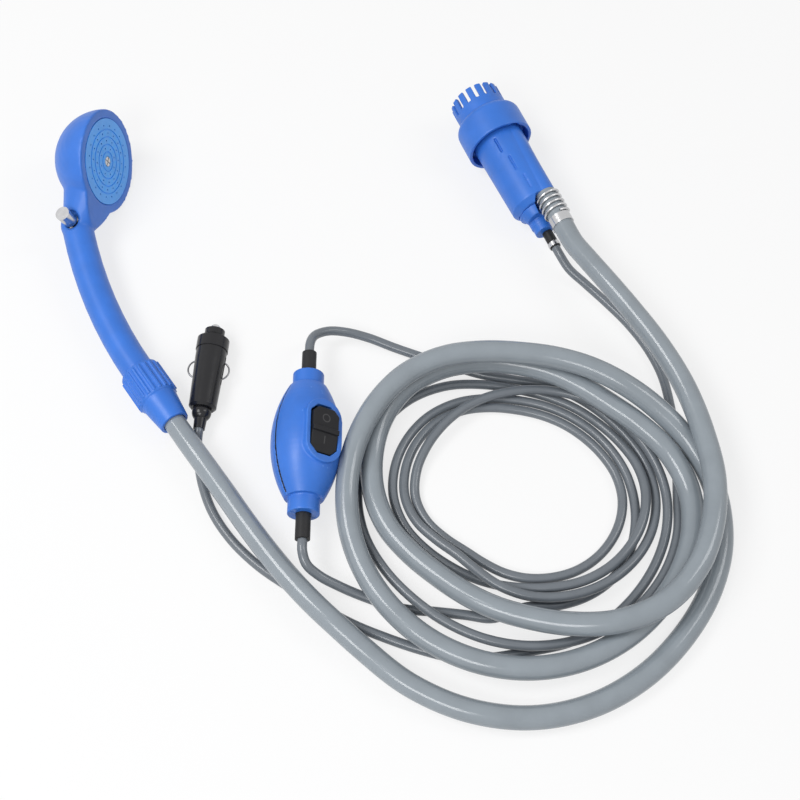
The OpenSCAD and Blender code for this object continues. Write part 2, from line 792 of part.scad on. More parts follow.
// Plug of the motor bay, with a rounded cover over the end of the body and the cable boss on it
module tail_cap() {
    color(BLUE) pump_place() difference() {
        union() {
            translate(motor_pos) rod(cap_r, cap_front, body_back + over);
            translate(dome_pos) taper(dome_r, dome_end_r, body_back, dome_back);
            translate(boss_pos) rod(boss_r, body_back, boss_step);
            translate(boss_pos) rod(boss_step_r, boss_step - over, boss_back);
        }
        translate(ridge_pos) rod(guard_clear_r, ridge_back, dome_back + over);
        translate(gland_pos) rod(cable_bore_r, cap_front - over, boss_back + over);
        translate(motor_pos) washer(cap_r + over, tail_groove_r, tail_ring_at - tail_ring_r - fit,
            tail_ring_at + tail_ring_r + fit);
    }
}

module tail_seal() {
    color(BLACK) pump_place() translate(motor_pos) translate([0, 0, tail_ring_at])
        rotate_extrude() translate([bay_r - tail_ring_r - fit, 0]) circle(r = tail_ring_r);
}

module motor_leads() {
    color([0.7, 0.1, 0.1]) pump_place() translate(gland_pos) for (s = [-1, 1])
        translate([s * lead_gap, 0, 0]) rod(lead_r, end_cap_back, cable_start);
}

module cable_gland() {
    color(BLACK) pump_place() translate(gland_pos)
        washer(sleeve_r, cable_bore_r, boss_back, sleeve_back);
}

module gland_ring() {
    color(STEEL) pump_place() translate(gland_pos) washer(sleeve_r + sleeve_ring_t, sleeve_r + fit,
        sleeve_ring_front, sleeve_ring_back);
}

module hose_spring() {
    color(STEEL) pump_place() translate(ridge_pos) translate([0, 0, guard_start])
        coil_spring(guard_mid_r, guard_wire_r, guard_turns, guard_pitch);
}

module hose_clamp() {
    ear = 2.5;
    color(STEEL) pump_place() translate(ridge_pos) {
        washer(hose_r + clamp_t, hose_r + fit, clamp_front, clamp_back);
        rotate([0, 0, 180 + ridge_turn]) translate([hose_r + clamp_t / 2, -ear / 2, clamp_front])
            cube([ear / 2, ear, clamp_back - clamp_front]);
    }
}

module hose_pump_end() {
    color(GREY) pump_place() translate(ridge_pos)
        washer(hose_r, hose_bore_r, ridge_back, hose_end);
}

module hose_pump_run() {
    color(GREY) swept(hose_path, 0, len(hose_from), hose_r, run_sides);
}

module hose_coil() {
    color(GREY) swept(hose_path, len(hose_from), len(hose_from) + len(hose_loops) - 1, hose_r,
        coil_sides);
}

module hose_handset_run() {
    color(GREY) swept(hose_path, len(hose_from) + len(hose_loops) - 1, len(hose_path) - 1, hose_r,
        run_sides);
}

module handset_place() {
    translate(handset_at) rotate([handset_roll, 0, handset_yaw]) children();
}

module on_nut_axis() {
    rotate([0, 90, 0]) children();
}

// Frame of the spray disc: z runs into the head
module on_face() {
    translate(head_pos) rotate([0, 0, face_turn]) rotate([0, -90, 0]) children();
}

module hose_handset_end() {
    color(GREY) handset_place() on_nut_axis()
        washer(hose_r, hose_bore_r, hose_tail_out, tail_flange_front);
}

module handle_arc(r) {
    translate([arc_at, arc_big_r, 0]) rotate([0, 0, -90]) rotate_extrude(angle = arc_deg)
        translate([arc_big_r, 0]) circle(r = r);
}

// Tapered neck from the middle of the round head to the end of the handle
module neck_cone() {
    translate(head_pos) rotate([0, 0, neck_turn]) on_nut_axis()
        taper(neck_wide_r, neck_end_r, 0, neck_long);
}

module handset_body() {
    far = 4 * head_r;
    water_vec = head_pos + head_chamber_deep / 2 * [-cos(face_turn), -sin(face_turn), 0] - neck_pos;
    color(BLUE) handset_place() difference() {
        union() {
            difference() {
                union() {
                    translate(head_pos) sphere(r = head_r);
                    neck_cone();
                }
                on_face() translate([-far / 2, -far / 2, -far]) cube(far);
            }
            translate(neck_pos) sphere(r = neck_r);
            handle_arc(handle_r);
            on_nut_axis() rod(handle_r, handle_start, arc_at);
            on_nut_axis() rod(spigot_r, spigot_front, arc_at);
        }
        handle_arc(handle_bore_r);
        on_nut_axis() rod(handle_bore_r, spigot_front - over, arc_at);
        translate(neck_pos) rotate([0, 0, atan2(water_vec[1], water_vec[0])]) on_nut_axis()
            rod(neck_bore_r, 0, norm(water_vec));
        on_face() difference() {
            union() {
                rod(face_r + plate_slack, -over, plate_t + gasket_t);
                rod(head_chamber_r, -over, head_chamber_deep);
            }
            rod(screw_boss_r, plate_t, head_chamber_deep + over);
        }
        on_face() rod(screw_shank_r + fit, plate_t - over, screw_long + over);
        translate(neck_pos) rod(spool_r + running, -2 * neck_r, 2 * neck_r);
        translate(neck_pos) rod(pocket_r, -2 * neck_r, -pocket_at);
    }
    // Plug of the handle bore round the valve
    color(BLUE) handset_place() valve_block();
}

// Wall that closes the handle bore except for the water hole, with the valve bore across it
module valve_block() {
    block_deg = block_long / arc_big_r * 180 / PI;
    difference() {
        translate([arc_at, arc_big_r, 0]) rotate([0, 0, arc_deg - block_deg - 90])
            rotate_extrude(angle = block_deg) translate([arc_big_r, 0])
            difference() {
                circle(r = handle_bore_r + fit);
                circle(r = neck_bore_r);
            }
        translate(neck_pos) rod(spool_r + running, -2 * neck_r, 2 * neck_r);
    }
}

// Radius of a ring of spray holes, counted from the edge of the disc
function spray_ring_r(i) = face_r - spray_edge - i * spray_pitch;
function spray_holes(i) = spray_holes_first + (spray_ring_count - 1 - i) * spray_holes_step;

module face_plate() {
    color(BLUE) handset_place() on_face() difference() {
        rod(face_r, 0, plate_t);
        for (i = [0 : spray_ring_count - 1]) {
            groove_r = spray_ring_r(i + 0.5);
            washer(groove_r + face_groove_w / 2, groove_r - face_groove_w / 2, -over, face_groove_deep);
            for (k = [0 : spray_holes(i) - 1])
                rotate([0, 0, 360 * k / spray_holes(i)]) translate([spray_ring_r(i), 0, 0])
                    rod(spray_r, -over, plate_t + over);
        }
        rod(screw_head_r + loose, -over, screw_head_t + fit);
        rod(screw_shank_r + loose, -over, plate_t + over);
    }
}

module face_screw() {
    slot_t = 0.8;
    color(STEEL) handset_place() on_face() difference() {
        union() {
            rod(screw_head_r, fit, screw_head_t + fit);
            rod(screw_shank_r, screw_head_t, screw_long);
        }
        translate([-screw_head_r, -slot_t / 2, -over]) cube([2 * screw_head_r, slot_t, over + slot_t]);
        translate([-slot_t / 2, -screw_head_r, -over]) cube([slot_t, 2 * screw_head_r, over + slot_t]);
    }
}

module head_gasket() {
    color(BLACK) handset_place() on_face()
        washer(gasket_r, gasket_in_r, plate_t, plate_t + gasket_t);
}

module valve_spool() {
    color(STEEL) handset_place() translate(neck_pos) difference() {
        rod(spool_r, -spool_top, spool_low);
        washer(2 * spool_r, spool_waist_r, spool_waist_at - spool_waist_long / 2,
            spool_waist_at + spool_waist_long / 2);
        for (z = spool_ring_at)
            washer(2 * spool_r, spool_r - 2 * spool_ring_r, z - spool_ring_r - fit,
                z + spool_ring_r + fit);
    }
}

module spool_seals() {
    color(BLACK) handset_place() translate(neck_pos) for (z = spool_ring_at)
        translate([0, 0, z]) rotate_extrude() translate([spool_r - spool_ring_r + fit / 2, 0])
            circle(r = spool_ring_r);
}

module union_nut() {
    color(BLUE) handset_place() on_nut_axis() difference() {
        union() {
            taper(sleeve_small_r, sleeve_big_r, 0, nut_step);
            taper(sleeve_big_r, nut_r, nut_step, nut_step + nut_chamfer);
            rod(nut_r, nut_step + nut_chamfer, nut_back);
            for (k = [0 : rib_count - 1])
                rotate([0, 0, 360 * k / rib_count])
                    translate([nut_r - over, -rib_w / 2, nut_step + rib_inset])
                    cube([rib_r - nut_r + over, rib_w, nut_back - nut_step - 2 * rib_inset]);
        }
        rod(hose_r + loose, -over, nut_shoulder + over);
        rod(nut_bore_r, nut_shoulder, nut_back + over);
    }
}

module hose_tail() {
    color(BLUE) handset_place() on_nut_axis() difference() {
        union() {
            rod(tail_flange_r, tail_flange_front, washer_front);
            translate([0, 0, tail_flange_front]) mirror([0, 0, 1])
                barbs(0, tail_flange_front - tail_barb_end);
        }
        rod(channel_r, tail_barb_end - over, washer_front + over);
    }
}

module nut_washer() {
    color(BLACK) handset_place() on_nut_axis()
        washer(tail_flange_r - loose, washer_in_r, washer_front, spigot_front);
}

module cable_pump_run() {
    color(GREY) swept(pump_lane_path, 0, len(pump_lane_from), cable_r, run_sides);
}

module cable_coil_pump() {
    color(GREY) swept(pump_lane_path, len(pump_lane_from),
        len(pump_lane_from) + len(pump_lane_loops) - 1, cable_r, coil_sides);
}

module cable_switch_in_run() {
    color(GREY) swept(pump_lane_path, len(pump_lane_from) + len(pump_lane_loops) - 1,
        len(pump_lane_path) - 1, cable_r, run_sides);
}

module cable_switch_out_run() {
    color(GREY) swept(plug_lane_path, 0, len(plug_lane_from), cable_r, run_sides);
}

module cable_coil_plug() {
    color(GREY) swept(plug_lane_path, len(plug_lane_from),
        len(plug_lane_from) + len(plug_lane_loops) - 1, cable_r, coil_sides);
}

module cable_plug_run() {
    color(GREY) swept(plug_lane_path, len(plug_lane_from) + len(plug_lane_loops) - 1,
        len(plug_lane_path) - 1, cable_r, run_sides);
}

module switch_place() {
    translate(switch_at) rotate([-90, 0, 0]) rotate([0, 0, switch_roll]) children();
}

function switch_radius(z) = switch_r - switch_arc_r + sqrt(switch_arc_r * switch_arc_r - z * z);

// Solid of the switch, drawn in by a distance
module switch_solid(inset) {
    rotate_extrude() polygon(concat([[0, -switch_half + inset]],
        [for (k = [-profile_steps : profile_steps])
            let (z = k * (switch_half - inset) / profile_steps) [switch_radius(z) - inset, z]],
        [[0, switch_half - inset]]));
}

module switch_skin() {
    difference() {
        union() {
            switch_solid(0);
            rod(neck_ring_r, -neck_half, neck_half);
        }
        switch_solid(switch_wall);
        rod(cable_bore_r, -neck_half - over, neck_half + over);
        rod(boot_r + fit, boot_in, neck_half + over);
        rod(boot_r + fit, -neck_half - over, -boot_in);
        difference() {
            translate([-seam_w / 2, -2 * switch_r, -seam_half])
                cube([seam_w, 4 * switch_r, 2 * seam_half]);
            switch_solid(seam_deep);
        }
    }
}

module half_space(side) {
    far = 4 * switch_half;
    translate([side > 0 ? 0 : -far, -far / 2, -far / 2]) cube(far);
}

// Long octagon across the rocker, as tall as x from low to top
module rocker_prism(long, wide, low, top) {
    c = rocker_chamfer;
    translate([low, 0, 0]) rotate([0, 90, 0]) linear_extrude(top - low)
        polygon([[-long / 2 + c, -wide / 2], [long / 2 - c, -wide / 2], [long / 2, -wide / 2 + c],
            [long / 2, wide / 2 - c], [long / 2 - c, wide / 2], [-long / 2 + c, wide / 2],
            [-long / 2, wide / 2 - c], [-long / 2, -wide / 2 + c]]);
}

// Long rounded block round the rocker, with half-round ends
module bezel_block(low, top) {
    straight = bezel_long - bezel_wide;
    translate([low, 0, 0]) rotate([0, 90, 0]) linear_extrude(top - low) {
        square([straight, bezel_wide], center = true);
        for (s = [-1, 1]) translate([s * straight / 2, 0]) circle(d = bezel_wide);
    }
}

module switch_top_shell() {
    gap = 2 * rocker_clear;
    color(BLUE) switch_place() difference() {
        union() {
            intersection() {
                switch_skin();
                half_space(1);
            }
            difference() {
                bezel_block(switch_r / 2, bezel_x);
                switch_solid(switch_wall);
            }
            intersection() {
                switch_solid(over);
                for (s = [-1, 1]) translate([0, 0, s * switch_screw_z]) screw_boss(0, switch_r);
            }
            for (s = [-1, 1]) pin_boss(s);
        }
        rocker_prism(rocker_long + gap, rocker_wide + gap, rocker_low_x, 2 * switch_r);
        bezel_block(bezel_x, 2 * switch_r);
        translate([rocker_pivot_x, 0, 0]) rotate([90, 0, 0])
            rod(rocker_pin_r + fit, -pin_half - fit, pin_half + fit);
        for (s = [-1, 1]) translate([0, 0, s * switch_screw_z]) rotate([0, 90, 0])
            rod(switch_screw_r + fit, -over, switch_screw_end_x + over);
    }
}

module screw_boss(from, to) {
    rotate([0, 90, 0]) rod(switch_boss_r, from, to);
}

// Cheek that carries one end of the rocker pin
module pin_boss(side) {
    near = rocker_wide / 2 + rocker_clear;
    wide = 2 * pin_boss_r;
    translate([rocker_pivot_x - pin_boss_r, side > 0 ? near : -near - pin_boss_t - over, -pin_boss_r])
        cube([wide, pin_boss_t + over, wide]);
}

module switch_bottom_shell() {
    color(BLUE) switch_place() difference() {
        union() {
            intersection() {
                switch_skin();
                half_space(-1);
            }
            intersection() {
                switch_solid(over);
                union() {
                    for (s = [-1, 1]) translate([0, 0, s * switch_screw_z])
                        screw_boss(-switch_r, 0);
                    translate([-switch_r, -contact_seat_wide / 2, -contact_seat_long / 2])
                        cube([switch_r + contact_base_x, contact_seat_wide, contact_seat_long]);
                }
            }
        }
        for (s = [-1, 1]) translate([0, 0, s * switch_screw_z]) rotate([0, 90, 0]) {
            rod(switch_screw_r + loose, -switch_r, over);
            rod(switch_screw_head_r + loose, -switch_r, switch_screw_head_x);
        }
    }
}

module switch_screws() {
    color(STEEL) switch_place() for (s = [-1, 1]) translate([0, 0, s * switch_screw_z])
        rotate([0, 90, 0]) {
            rod(switch_screw_r, switch_screw_head_x - over, switch_screw_end_x);
            rod(switch_screw_head_r, switch_screw_head_x - switch_screw_head_t, switch_screw_head_x);
        }
}

module rocker() {
    color(BLACK) switch_place() translate([rocker_pivot_x, 0, 0]) rotate([0, rocker_tilt, 0])
        translate([-rocker_pivot_x, 0, 0]) difference() {
            union() {
                intersection() {
                    rocker_prism(rocker_long, rocker_wide, rocker_low_x, rocker_top_x);
                    translate([rocker_pivot_x, 0, 0]) rotate([90, 0, 0])
                        rod(rocker_long / 2, -rocker_wide, rocker_wide);
                }
                translate([lever_x + stem_gap, -stem_w / 2, -stem_w / 2])
                    cube([rocker_low_x - lever_x, stem_w, stem_w]);
            }
            for (s = [-1, 1]) rotate([0, -s * rocker_crease, 0])
                translate([rocker_top_x - rocker_dish, -rocker_wide, s > 0 ? 0 : -rocker_long])
                cube([switch_r, 2 * rocker_wide, rocker_long]);
            translate([rocker_pivot_x, 0, 0]) rotate([90, 0, 0])
                rod(rocker_pin_r + running, -rocker_wide, rocker_wide);
        }
}

module rocker_pin() {
    color(STEEL) switch_place() translate([rocker_pivot_x, 0, 0]) rotate([90, 0, 0])
        rod(rocker_pin_r, -pin_half, pin_half);
}

module contact_lever() {
    color(BRASS) switch_place() translate([lever_x, 0, 0]) rotate([0, -lever_tilt, 0]) difference() {
        union() {
            translate([0, -lever_w / 2, -lever_half]) cube([lever_t, lever_w, 2 * lever_half]);
            rotate([90, 0, 0]) rod(2 * lever_pin_r, -lever_w / 2, lever_w / 2);
        }
        rotate([90, 0, 0]) rod(lever_pin_r + running, -lever_w, lever_w);
    }
}

module switch_contacts() {
    post_t = 2;
    end_drop = 1.1;
    fork_w = 1.2;
    color(BRASS) switch_place() {
        rotate([90, 0, 0]) translate([lever_x, 0, 0])
            rod(lever_pin_r, -lever_w / 2 - 2 * fork_w, lever_w / 2 + 2 * fork_w);
        for (s = [-1, 1])
            translate([contact_base_x, s * (lever_w / 2 + fork_w) - fork_w / 2, -post_t])
                cube([lever_x + lever_pin_r - contact_base_x, fork_w, 2 * post_t]);
        for (s = [-1, 1])
            translate([contact_base_x, -contact_w / 2, s * (lever_half - post_t) - post_t / 2])
                cube([lever_x - end_drop - contact_base_x, contact_w, post_t]);
    }
}

module boot(from, to) {
    washer(boot_r, cable_bore_r, from, to);
}

module switch_boot_top() {
    color(BLACK) switch_place() boot(boot_in, boot_out);
}

module switch_boot_bottom() {
    color(BLACK) switch_place() boot(-boot_out, -boot_in);
}

module plug_place() {
    translate(plug_at) rotate([0, -plug_dip, plug_yaw]) rotate([0, 90, 0]) children();
}

module plug_barrel() {
    front_r = plug_r - plug_step;
    color(BLACK) plug_place() difference() {
        union() {
            taper(plug_back_r - plug_edge, plug_back_r, 0, plug_edge);
            taper(plug_back_r, front_r, plug_edge, barrel_long - plug_front_long);
            rod(front_r, barrel_long - plug_front_long, barrel_long);
        }
        rod(plug_bore_r, plug_floor, barrel_long + over);
        rod(cable_bore_r, -over, plug_floor + over);
        for (s = [-1, 1])
            translate([-contact_slot_w / 2, s > 0 ? 0 : -2 * plug_r, contact_at - contact_slot_long / 2])
                cube([contact_slot_w, 2 * plug_r, contact_slot_long]);
    }
}

module plug_nose() {
    color(BLACK) plug_place() difference() {
        union() {
            rod(plug_bore_r - fit, barrel_long - nose_spigot, barrel_long + over);
            rod(plug_r, barrel_long, nose_ring_end);
            taper(nose_big_r, nose_small_r, nose_ring_end, nose_ring_end + nose_shoulder);
            rod(nose_small_r, nose_ring_end, nose_end);
        }
        rod(nose_bore_r, barrel_long - nose_spigot - over, nose_end - nose_wall);
        rod(tip_r + running, nose_end - nose_wall - over, nose_end + over);
    }
}

flange_front = nose_end - nose_wall - fit;
fuse_front = flange_front - tip_flange_t;

module plug_tip() {
    round_r = 1;
    color(STEEL) plug_place() {
        rod(tip_flange_r, fuse_front, flange_front);
        rod(tip_r, flange_front - over, tip_end - round_r);
        taper(tip_r, tip_r - round_r, tip_end - round_r, tip_end);
    }
}

module fuse() {
    glass_r = fuse_r - fuse_wall;
    color(WHITE) plug_place() {
        rod(fuse_r, fuse_front - fuse_cap, fuse_front);
        rod(glass_r, fuse_front - fuse_long + over, fuse_front - over);
        rod(fuse_r, fuse_front - fuse_long, fuse_front - fuse_long + fuse_cap);
    }
}

spring_low = plug_floor + loose;
spring_high = fuse_front - fuse_long;

module tip_spring() {
    span = spring_high - spring_low - 2 * tip_spring_wire_r;
    color(STEEL) plug_place() translate([0, 0, spring_low + tip_spring_wire_r])
        coil_spring(tip_spring_r, tip_spring_wire_r, tip_spring_turns, span / tip_spring_turns);
}

// Bowed wire that stands out of its slot, with a flat foot inside the barrel
module side_contact(side) {
    color(STEEL) plug_place() rotate([0, 0, side > 0 ? 90 : -90]) {
        translate([contact_bow_x, 0, contact_at]) rotate([90, 0, 0])
            rotate([0, 0, -contact_bow_deg / 2]) rotate_extrude(angle = contact_bow_deg)
            translate([contact_bow_r, 0]) circle(r = contact_wire_r);
        translate([contact_foot_x, -contact_slot_w / 2 + loose, contact_at - contact_foot / 2])
            cube([contact_foot_t, contact_slot_w - 2 * loose, contact_foot]);
    }
}

module side_contact_left() {
    side_contact(1);
}

module side_contact_right() {
    side_contact(-1);
}

module plug_boot() {
    color(BLACK) plug_place() difference() {
        union() {
            taper(plug_boot_end_r, plug_boot_r, plug_boot_end, 0);
            translate([0, 0, bulb_at]) sphere(r = bulb_r);
        }
        rod(2 * bulb_r, 0, 2 * bulb_r);
        rod(cable_bore_r, plug_boot_end - over, over);
    }
}

pump_housing();
strainer_cap();
volute_cover();
impeller();
motor_shaft();
rotor_core();
commutator();
motor_can();
motor_magnets();
motor_end_cap();
motor_brushes();
front_bush();
rear_bush();
shaft_seal();
tail_cap();
tail_seal();
motor_leads();
cable_gland();
gland_ring();
hose_spring();
hose_clamp();
hose_pump_end();
hose_pump_run();
hose_coil();
hose_handset_run();
hose_handset_end();
handset_body();
face_plate();
face_screw();
head_gasket();
valve_spool();
spool_seals();
union_nut();
hose_tail();
nut_washer();
cable_pump_run();
cable_coil_pump();
cable_switch_in_run();
cable_switch_out_run();
cable_coil_plug();
cable_plug_run();
switch_top_shell();
switch_bottom_shell();
rocker();
rocker_pin();
contact_lever();
switch_contacts();
switch_boot_top();
switch_boot_bottom();
switch_screws();
plug_barrel();
plug_nose();
plug_tip();
tip_spring();
fuse();
side_contact_left();
side_contact_right();
plug_boot();
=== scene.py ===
"""Looks of a camp shower pump set: pump, hose, hand shower, cable with switch, vehicle plug.

Sizes are in millimetres in each unit's own frame, as in the part's source, and become metres when a
piece is made. The stage is in metres and watts. Angles are in degrees.
"""

import math

import bpy
from mathutils import Matrix, Vector


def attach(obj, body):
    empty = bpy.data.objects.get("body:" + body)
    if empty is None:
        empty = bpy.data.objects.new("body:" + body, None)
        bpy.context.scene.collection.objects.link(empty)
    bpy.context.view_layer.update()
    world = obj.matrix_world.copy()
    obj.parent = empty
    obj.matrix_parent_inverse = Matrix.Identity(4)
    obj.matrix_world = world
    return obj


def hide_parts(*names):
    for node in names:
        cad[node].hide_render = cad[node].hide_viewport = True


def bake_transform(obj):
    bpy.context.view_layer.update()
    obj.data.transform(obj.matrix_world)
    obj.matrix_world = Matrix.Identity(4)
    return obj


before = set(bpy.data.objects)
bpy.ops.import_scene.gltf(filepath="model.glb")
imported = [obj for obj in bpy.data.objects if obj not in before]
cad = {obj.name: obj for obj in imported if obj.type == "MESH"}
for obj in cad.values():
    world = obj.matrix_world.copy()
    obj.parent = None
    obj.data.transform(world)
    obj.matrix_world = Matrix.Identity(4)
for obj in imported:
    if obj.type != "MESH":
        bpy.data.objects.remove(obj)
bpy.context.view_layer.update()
scene = bpy.context.scene

MM = 0.001


def link(obj):
    scene.collection.objects.link(obj)
    return obj


# Camera at the photograph's angle

CAMERA_AT = Vector((59, -518.4, 752.2))
CAMERA_DOWN = 61
CAMERA_LENS = 60.3
CAMERA_SENSOR = 36


def make_camera():
    data = bpy.data.cameras.new("camera")
    data.lens = CAMERA_LENS
    data.sensor_width = CAMERA_SENSOR
    camera = link(bpy.data.objects.new("camera", data))
    camera.location = CAMERA_AT * MM
    camera.rotation_euler = (math.radians(90 - CAMERA_DOWN), 0, 0)
    scene.camera = camera


make_camera()


# Frames of the four units on the floor

LAYOUT_SHIFT = Vector((-6, 3.5, 0))
COLLAR_R = 23.5
COLLAR_BACK = 43
PUMP_YAW = -66.5
PUMP_DIP = 3
PUMP_AT = LAYOUT_SHIFT + Vector((135, 84, COLLAR_R * math.cos(math.radians(PUMP_DIP))))
HANDSET_YAW = 125
HANDSET_AT = LAYOUT_SHIFT + Vector((-75.5, -129, 13.8))
SWITCH_ROLL = -55
SWITCH_AT = LAYOUT_SHIFT + Vector((7.5, -147, 21.8))
PLUG_YAW = 85.3
PLUG_DIP = 2.26
PLUG_AT = LAYOUT_SHIFT + Vector((-60, -116.5, 8.83))


def turned(axis, degrees):
    return Matrix.Rotation(math.radians(degrees), 4, axis)


def moved(x, y, z):
    return Matrix.Translation((x, y, z))


ON_SIDE = turned("Y", 90)
PUMP = (
    moved(*PUMP_AT)
    @ turned("Z", PUMP_YAW)
    @ turned("Y", PUMP_DIP)
    @ moved(-COLLAR_BACK, 0, 0)
    @ ON_SIDE
)
HANDSET = moved(*HANDSET_AT) @ turned("Z", HANDSET_YAW)
SWITCH = moved(*SWITCH_AT) @ turned("X", -90) @ turned("Z", SWITCH_ROLL)
PLUG = moved(*PLUG_AT) @ turned("Z", PLUG_YAW) @ turned("Y", -PLUG_DIP) @ ON_SIDE
SWITCH_UP, SWITCH_SIDE, SWITCH_LONG = SWITCH.to_3x3().col


# Routes of the hose and the two cables, with the points of the part's source

HOSE_D = 14
CABLE_D = 6
RIDGE_TURN = math.radians(146)
RIDGE_OFF = 12
RIDGE_POS = RIDGE_OFF * Vector((math.cos(RIDGE_TURN), math.sin(RIDGE_TURN), 0))
GLAND_POS = Vector((7.2, 1, 0))
HOSE_END = 125.15
SLEEVE_BACK = 129
HOSE_TAIL_OUT = -6
BOOT_OUT = 64
CABLE_IN = 38.3
PLUG_BOOT_END = -14
PLUG_LEAD = 2
PLUG_FLOOR = 6

COIL_AT = LAYOUT_SHIFT + Vector((140, -175, 0))
STATIONS_PER_LOOP = 8
STATION_STEPS = 3
HOSE_REACH = [113, 109, 83, 76, 91, 100, 84.5, 79, 100.5, 106, 111.5, 110.5, 107, 100.5, 84, 90, 118]
HOSE_REACH += [127, 138, 138]
HOSE_HEIGHT = [29.2, 29.2, 18, 12, 10, 16, 20.6, 20.6, 13.8, 13.4, 13.6, 14, 20, 32, 35.6, 31.8, 8.5]
HOSE_HEIGHT += [7.2, 7.2, 10]
HOSE_FIRST = [(187, -14, 29), (199, -33, 30), (213, -55, 30), (228, -81, 30), (241, -110, 29.5)]
HOSE_FIRST += [(250, -145, 29)]
HOSE_LAST = [(29, -261, 12.5), (15, -248, 13.6), (1, -233, 13.6), (-13, -216, 13.6)]
HOSE_LAST += [(-28, -196, 13.6), (-42, -176, 13.6), (-57, -155, 13.4)]
PUMP_LANE_REACH = [95.5, 97, 97, 96, 101, 97, 76, 72, 75, 69, 60, 64, 79, 80, 68, 65, 68.5, 74, 71]
PUMP_LANE_HEIGHT = [3.1, 7, 9.7, 9.7, 3.1, 3.1, 3.1, 3.1, 9, 9.7, 5] + 8 * [3.1]
PUMP_LANE_FIRST = [(178, -8, 8), (189, -18, 4.4), (202, -32, 3.1), (216, -50, 3.1), (227, -69, 3.1)]
PUMP_LANE_FIRST += [(234, -88, 3.1), (237, -108, 3.1), (238, -125, 3.1), (238, -141, 3.1)]
PUMP_LANE_FIRST += [(237, -156, 3.1)]
PUMP_LANE_LAST = [(118, -253, 3.1), (104, -251, 3.1), (86, -249, 3.1), (66, -247, 3.1)]
PUMP_LANE_LAST += [(46, -241, 4.5), (29, -235, 8.5), (17, -230, 13.5), (10, -225, 18.5)]
PLUG_LANE_START = -0.25
PLUG_LANE_REACH = [83, 79, 82, 76, 66.5, 57.5, 72, 73.5, 61, 58, 61.5, 58.5, 53, 50.5, 65.5, 67, 71.5]
PLUG_LANE_REACH += [80, 88, 90.5, 98]
PLUG_LANE_HEIGHT = 3 * [3.1] + [9.7, 9.7, 9.7, 4.5] + 8 * [3.1] + [9.8, 9.8, 9.7, 6.4, 3.1, 3.1]
PLUG_LANE_FIRST = [(10, -68, 18.5), (18, -62, 14.5), (30, -60, 10), (44, -62, 6.5), (61, -68, 4)]
PLUG_LANE_FIRST += [(80, -75, 3.1), (100, -82, 3.1), (118, -88, 3.1)]
PLUG_LANE_LAST = [(116, -277, 3.1), (98, -277, 3.1), (77, -272, 3.1), (57, -265, 3.1), (38, -257, 3.1)]
PLUG_LANE_LAST += [(20, -247, 3.1), (0, -234, 3.1), (-21, -219, 3.1), (-38, -202, 3.1)]
PLUG_LANE_LAST += [(-50, -184, 3.1), (-57, -166, 3.1), (-60.5, -151, 3.1), (-61.8, -143, 3.8)]
PLUG_LANE_LAST += [(-61.8, -137, 6)]

TUBE_STEP = 2.5
TUBE_ROUNDNESS = 10


def laid(points):
    return [LAYOUT_SHIFT + Vector(point) for point in points]


def along(unit, position, *distances):
    """Points of a line that runs along a unit's own z axis through a position."""
    return [unit @ (position + Vector((0, 0, z))) for z in distances]


def knot(values, i):
    if i < 0:
        return 2 * values[0] - values[1]
    if i < len(values):
        return values[i]
    return 2 * values[-1] - values[-2]


def between(values, i, t):
    """Value on a smooth curve through a list, a share t of the way past place i."""
    a, b, c, d = (knot(values, i + step) for step in (-1, 0, 1, 2))
    square = (2 * a - 5 * b + 4 * c - d) * t**2
    cube = (3 * b - a - 3 * c + d) * t**3
    return 0.5 * (2 * b + (c - a) * t + square + cube)


def loops(reach, height, start):
    points = []
    for step in range((len(reach) - 1) * STATION_STEPS + 1):
        place, part = divmod(step, STATION_STEPS)
        share = part / STATION_STEPS
        angle = -2 * math.pi * (start + (place + share) / STATIONS_PER_LOOP)
        r = between(reach, place, share)
        flat = Vector((r * math.cos(angle), r * math.sin(angle), between(height, place, share)))
        points.append(COIL_AT + flat)
    return points


def flowing(points):
    """Fine points of a smooth line through a cord's own points, however far apart they are."""
    gaps = [(b - a).length for a, b in zip(points, points[1:])]
    rates = [(b - a) / gap for a, b, gap in zip(points, points[1:], gaps)]
    tangents = [rates[0]]
    for i in range(1, len(rates)):
        weight = gaps[i] / (gaps[i - 1] + gaps[i])
        tangents.append(rates[i - 1] * weight + rates[i] * (1 - weight))
    tangents.append(rates[-1])
    fine = []
    for i, gap in enumerate(gaps):
        count = max(1, round(gap / TUBE_STEP))
        for step in range(count):
            t = step / count
            a = points[i] * (1 + 2 * t) * (1 - t) ** 2 + points[i + 1] * t**2 * (3 - 2 * t)
            b = tangents[i] * t * (1 - t) ** 2 - tangents[i + 1] * t**2 * (1 - t)
            fine.append(a + b * gap)
    return fine + [points[-1]]


def tube(name, points, radius):
    """Round wire or hose along a line, nowhere lower than lying on the floor."""
    data = bpy.data.curves.new(name, "CURVE")
    data.dimensions = "3D"
    data.bevel_depth = radius * MM
    data.bevel_resolution = TUBE_ROUNDNESS
    data.use_fill_caps = True
    spline = data.splines.new("POLY")
    spline.points.add(len(points) - 1)
    for place, point in zip(spline.points, points):
        place.co = (point.x * MM, point.y * MM, max(point.z, radius) * MM, 1)
    return link(bpy.data.objects.new(name, data))


ORIGIN = Vector((0, 0, 0))
hose_route = along(PUMP, RIDGE_POS, HOSE_END, HOSE_END + HOSE_D) + laid(HOSE_FIRST)
hose_route += loops(HOSE_REACH, HOSE_HEIGHT, 0) + laid(HOSE_LAST)
hose_route += [HANDSET @ Vector((HOSE_TAIL_OUT - HOSE_D, 0, 0)), HANDSET @ Vector((HOSE_TAIL_OUT, 0, 0))]
hose = tube("hose", flowing(hose_route), HOSE_D / 2)

